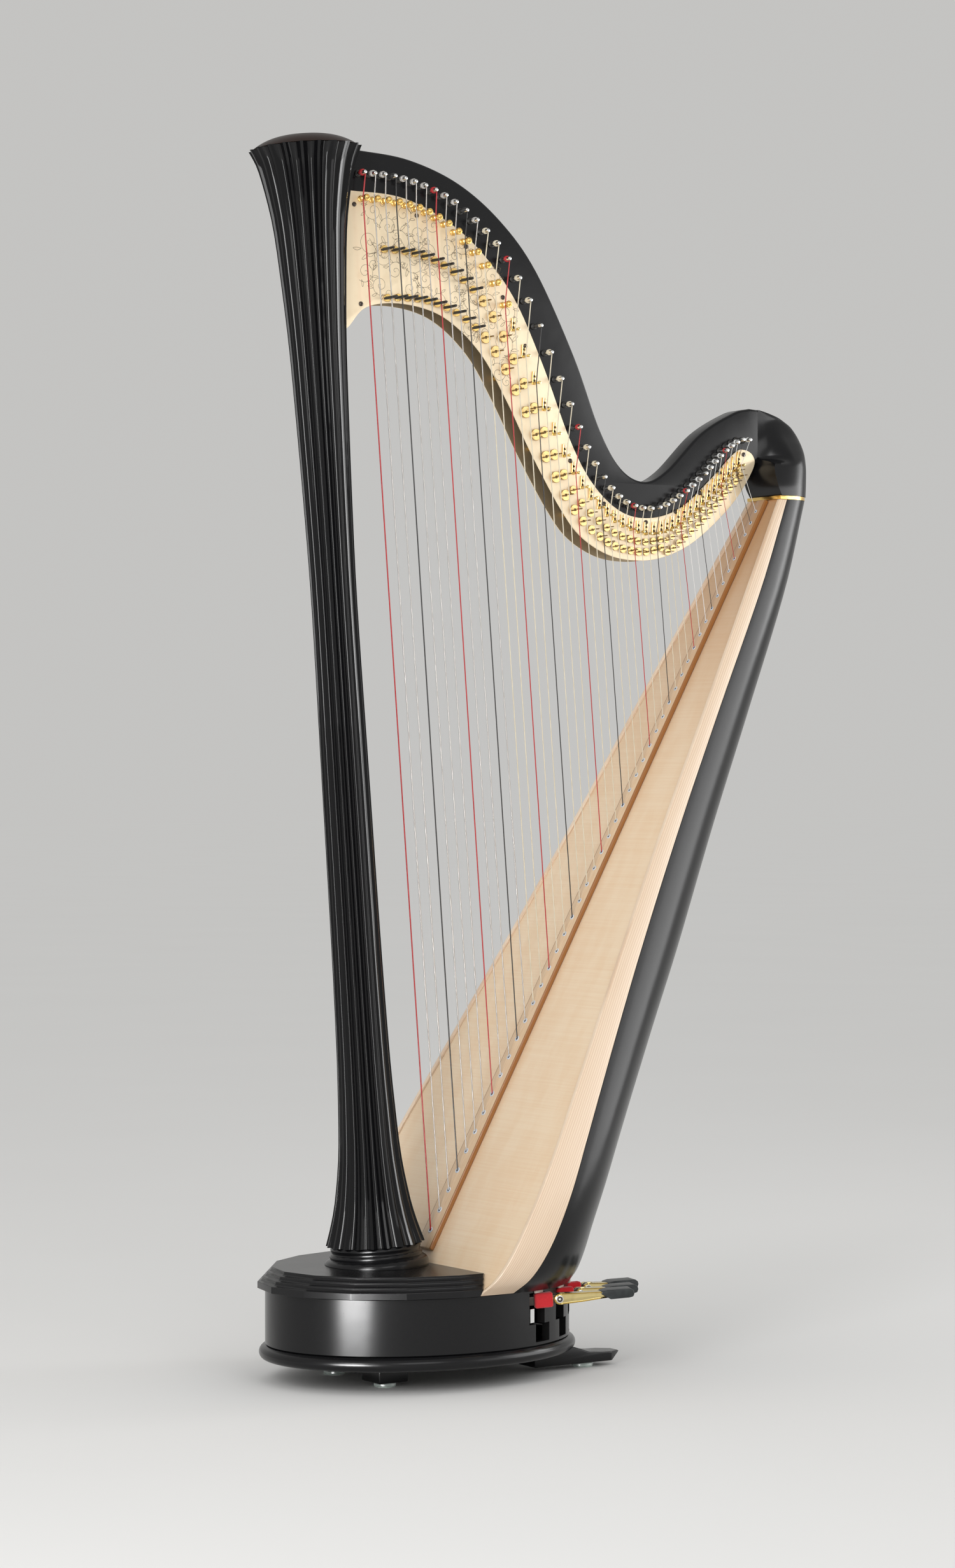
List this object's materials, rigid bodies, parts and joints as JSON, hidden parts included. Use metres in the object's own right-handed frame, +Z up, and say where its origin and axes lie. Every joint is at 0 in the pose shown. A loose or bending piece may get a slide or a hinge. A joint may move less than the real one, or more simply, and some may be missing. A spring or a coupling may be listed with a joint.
{
  "type": "pedal harp",
  "caption": "Full-size pedal harp: fluted column, curved neck with action plates, strings, tapered sound box and oval base with folding pedals.",
  "frame": {"origin": "bottom centre of the bounding box, on the floor", "axes": "+X from the column towards the player's shoulder, -Y the player's left where the strings and discs are, +Z up"},
  "size_m": [0.9948, 0.4758, 1.851],
  "materials": {
    "lacquer": "black gloss lacquer on wood",
    "cap_wood": "dark brown-black satin",
    "spruce": "clear satin on pale spruce",
    "maple": "clear satin on pale laminate",
    "plate": "satin cream-gold",
    "brass": "polished",
    "steel": "plated",
    "rubber": "smooth dark rubber",
    "glide": "pale hard plastic",
    "string": "gut, nylon and wound wire"
  },
  "bodies": {
    "harp": {"base_drum": "lacquer", "base_board": "lacquer", "plinth": "lacquer", "column_foot": "lacquer", "column": "lacquer", "crown_cap": "cap_wood", "neck": "lacquer", "shoulder": "lacquer", "shoulder_band": "brass", "left_action_plate": "plate", "right_action_plate": "plate", "soundboard": "spruce", "side_band_left": "maple", "side_band_right": "maple", "soundbox_shell": "lacquer", "strings": "string", "pedal_pivot_rail": "steel", "front_foot_left": "lacquer", "rear_foot_left": "lacquer", "front_glide_left": "glide", "rear_glide_left": "glide", "front_foot_right": "lacquer", "rear_foot_right": "lacquer", "front_glide_right": "glide", "rear_glide_right": "glide"},
    "pedal_D": {"pedal_lever_D": "steel"},
    "pedal_fold_D": {"pedal_arm_D": "brass", "pedal_cap_D": "rubber"},
    "rod_D": {"pedal_rod_D": "steel"},
    "pedal_C": {"pedal_lever_C": "steel"},
    "pedal_fold_C": {"pedal_arm_C": "brass", "pedal_cap_C": "rubber"},
    "rod_C": {"pedal_rod_C": "steel"},
    "pedal_B": {"pedal_lever_B": "steel"},
    "pedal_fold_B": {"pedal_arm_B": "brass", "pedal_cap_B": "rubber"},
    "rod_B": {"pedal_rod_B": "steel"},
    "pedal_E": {"pedal_lever_E": "steel"},
    "pedal_fold_E": {"pedal_arm_E": "brass", "pedal_cap_E": "rubber"},
    "rod_E": {"pedal_rod_E": "steel"},
    "pedal_F": {"pedal_lever_F": "steel"},
    "pedal_fold_F": {"pedal_arm_F": "brass", "pedal_cap_F": "rubber"},
    "rod_F": {"pedal_rod_F": "steel"},
    "pedal_G": {"pedal_lever_G": "steel"},
    "pedal_fold_G": {"pedal_arm_G": "brass", "pedal_cap_G": "rubber"},
    "rod_G": {"pedal_rod_G": "steel"},
    "pedal_A": {"pedal_lever_A": "steel"},
    "pedal_fold_A": {"pedal_arm_A": "brass", "pedal_cap_A": "rubber"},
    "rod_A": {"pedal_rod_A": "steel"},
    "disc_B": {"natural_disc_B": "brass"},
    "disc_A": {"natural_disc_A": "brass"},
    "disc_G": {"natural_disc_G": "brass"},
    "disc_F": {"natural_disc_F": "brass"},
    "disc_E": {"natural_disc_E": "brass"},
    "disc_D": {"natural_disc_D": "brass"},
    "disc_C": {"natural_disc_C": "brass"}
  },
  "joints": [
    {"name": "pedal_D_press", "type": "hinge", "parent": "harp", "child": "pedal_D", "pos_m": [-0.3801, -0.054, 0.1015], "axis": [0.4106, 0.9118, 0], "range_deg": [0, 9.4]},
    {"name": "pedal_D_fold", "type": "hinge", "parent": "pedal_D", "child": "pedal_fold_D", "pos_m": [-0.10305, -0.17876, 0.12403], "axis": [-0.4106, -0.9118, 0], "range_deg": [0, 46]},
    {"name": "rod_D_slide", "type": "slide", "parent": "harp", "child": "rod_D", "axis": [-0.0619, 0.0208, 0.9979], "range_m": [-0.0128, 0]},
    {"name": "pedal_C_press", "type": "hinge", "parent": "harp", "child": "pedal_C", "pos_m": [-0.3801, -0.036, 0.1015], "axis": [0.3022, 0.9532, 0], "range_deg": [0, 7.94]},
    {"name": "pedal_C_fold", "type": "hinge", "parent": "pedal_C", "child": "pedal_fold_C", "pos_m": [-0.04175, -0.14326, 0.12372], "axis": [-0.3022, -0.9532, 0], "range_deg": [0, 68]},
    {"name": "rod_C_slide", "type": "slide", "parent": "harp", "child": "rod_C", "axis": [-0.0619, 0.0208, 0.9979], "range_m": [-0.0128, 0]},
    {"name": "pedal_B_press", "type": "hinge", "parent": "harp", "child": "pedal_B", "pos_m": [-0.3801, -0.018, 0.1015], "axis": [0.2083, 0.9781, 0], "range_deg": [0, 7.18]},
    {"name": "pedal_B_fold", "type": "hinge", "parent": "pedal_B", "child": "pedal_fold_B", "pos_m": [0.0012, -0.09922, 0.12355], "axis": [-0.2083, -0.9781, 0], "range_deg": [0, 84]},
    {"name": "rod_B_slide", "type": "slide", "parent": "harp", "child": "rod_B", "axis": [-0.0619, 0.0208, 0.9979], "range_m": [-0.0128, 0]},
    {"name": "pedal_E_press", "type": "hinge", "parent": "harp", "child": "pedal_E", "pos_m": [-0.3801, 0, 0.1015], "axis": [-0.2035, 0.9791, 0], "range_deg": [0, 6.96]},
    {"name": "pedal_E_fold", "type": "hinge", "parent": "pedal_E", "child": "pedal_fold_E", "pos_m": [0.01278, 0.08165, 0.12351], "axis": [0.2035, -0.9791, 0], "range_deg": [0, 92]},
    {"name": "rod_E_slide", "type": "slide", "parent": "harp", "child": "rod_E", "axis": [-0.0619, 0.0208, 0.9979], "range_m": [-0.0128, 0]},
    {"name": "pedal_F_press", "type": "hinge", "parent": "harp", "child": "pedal_F", "pos_m": [-0.3801, 0.018, 0.1015], "axis": [-0.2737, 0.9618, 0], "range_deg": [0, 7.43]},
    {"name": "pedal_F_fold", "type": "hinge", "parent": "pedal_F", "child": "pedal_fold_F", "pos_m": [-0.01691, 0.12135, 0.12361], "axis": [0.2737, -0.9618, 0], "range_deg": [0, 78]},
    {"name": "rod_F_slide", "type": "slide", "parent": "harp", "child": "rod_F", "axis": [-0.0619, 0.0208, 0.9979], "range_m": [-0.0128, 0]},
    {"name": "pedal_G_press", "type": "hinge", "parent": "harp", "child": "pedal_G", "pos_m": [-0.3801, 0.036, 0.1015], "axis": [-0.341, 0.9401, 0], "range_deg": [0, 8.19]},
    {"name": "pedal_G_fold", "type": "hinge", "parent": "pedal_G", "child": "pedal_fold_G", "pos_m": [-0.05573, 0.15365, 0.12377], "axis": [0.341, -0.9401, 0], "range_deg": [0, 62]},
    {"name": "rod_G_slide", "type": "slide", "parent": "harp", "child": "rod_G", "axis": [-0.0619, 0.0208, 0.9979], "range_m": [-0.0128, 0]},
    {"name": "pedal_A_press", "type": "hinge", "parent": "harp", "child": "pedal_A", "pos_m": [-0.3801, 0.054, 0.1015], "axis": [-0.4106, 0.9118, 0], "range_deg": [0, 9.4]},
    {"name": "pedal_A_fold", "type": "hinge", "parent": "pedal_A", "child": "pedal_fold_A", "pos_m": [-0.10305, 0.17876, 0.12403], "axis": [0.4106, -0.9118, 0], "range_deg": [0, 46]},
    {"name": "rod_A_slide", "type": "slide", "parent": "harp", "child": "rod_A", "axis": [-0.0619, 0.0208, 0.9979], "range_m": [-0.0128, 0]},
    {"name": "disc_B_turn", "type": "hinge", "parent": "harp", "child": "disc_B", "pos_m": [0.14584, 0.0135, 1.27222], "axis": [0, -1, 0], "range_deg": [0, 50]},
    {"name": "disc_A_turn", "type": "hinge", "parent": "harp", "child": "disc_A", "pos_m": [0.13077, 0.0135, 1.27739], "axis": [0, -1, 0], "range_deg": [0, 50]},
    {"name": "disc_G_turn", "type": "hinge", "parent": "harp", "child": "disc_G", "pos_m": [0.11634, 0.0135, 1.28501], "axis": [0, -1, 0], "range_deg": [0, 50]},
    {"name": "disc_F_turn", "type": "hinge", "parent": "harp", "child": "disc_F", "pos_m": [0.10167, 0.0135, 1.29488], "axis": [0, -1, 0], "range_deg": [0, 50]},
    {"name": "disc_E_turn", "type": "hinge", "parent": "harp", "child": "disc_E", "pos_m": [0.08596, 0.0135, 1.30664], "axis": [0, -1, 0], "range_deg": [0, 50]},
    {"name": "disc_D_turn", "type": "hinge", "parent": "harp", "child": "disc_D", "pos_m": [0.06968, 0.0135, 1.32162], "axis": [0, -1, 0], "range_deg": [0, 50]},
    {"name": "disc_C_turn", "type": "hinge", "parent": "harp", "child": "disc_C", "pos_m": [0.05321, 0.0135, 1.34089], "axis": [0, -1, 0], "range_deg": [0, 50]}
  ],
  "couplings": [
    {"joint": "rod_D_slide", "follows": "pedal_D_press", "m_per_rad": -0.077942},
    {"joint": "rod_C_slide", "follows": "pedal_C_press", "m_per_rad": -0.092274},
    {"joint": "rod_B_slide", "follows": "pedal_B_press", "m_per_rad": -0.10204},
    {"joint": "rod_E_slide", "follows": "pedal_E_press", "m_per_rad": -0.10527},
    {"joint": "rod_F_slide", "follows": "pedal_F_press", "m_per_rad": -0.098607},
    {"joint": "rod_G_slide", "follows": "pedal_G_press", "m_per_rad": -0.089457},
    {"joint": "rod_A_slide", "follows": "pedal_A_press", "m_per_rad": -0.077942},
    {"joint": "disc_B_turn", "follows": "pedal_B_press", "ratio": 6.9568},
    {"joint": "disc_A_turn", "follows": "pedal_A_press", "ratio": 5.3138},
    {"joint": "disc_G_turn", "follows": "pedal_G_press", "ratio": 6.0989},
    {"joint": "disc_F_turn", "follows": "pedal_F_press", "ratio": 6.7227},
    {"joint": "disc_E_turn", "follows": "pedal_E_press", "ratio": 7.1767},
    {"joint": "disc_D_turn", "follows": "pedal_D_press", "ratio": 5.3138},
    {"joint": "disc_C_turn", "follows": "pedal_C_press", "ratio": 6.2909}
  ]
}
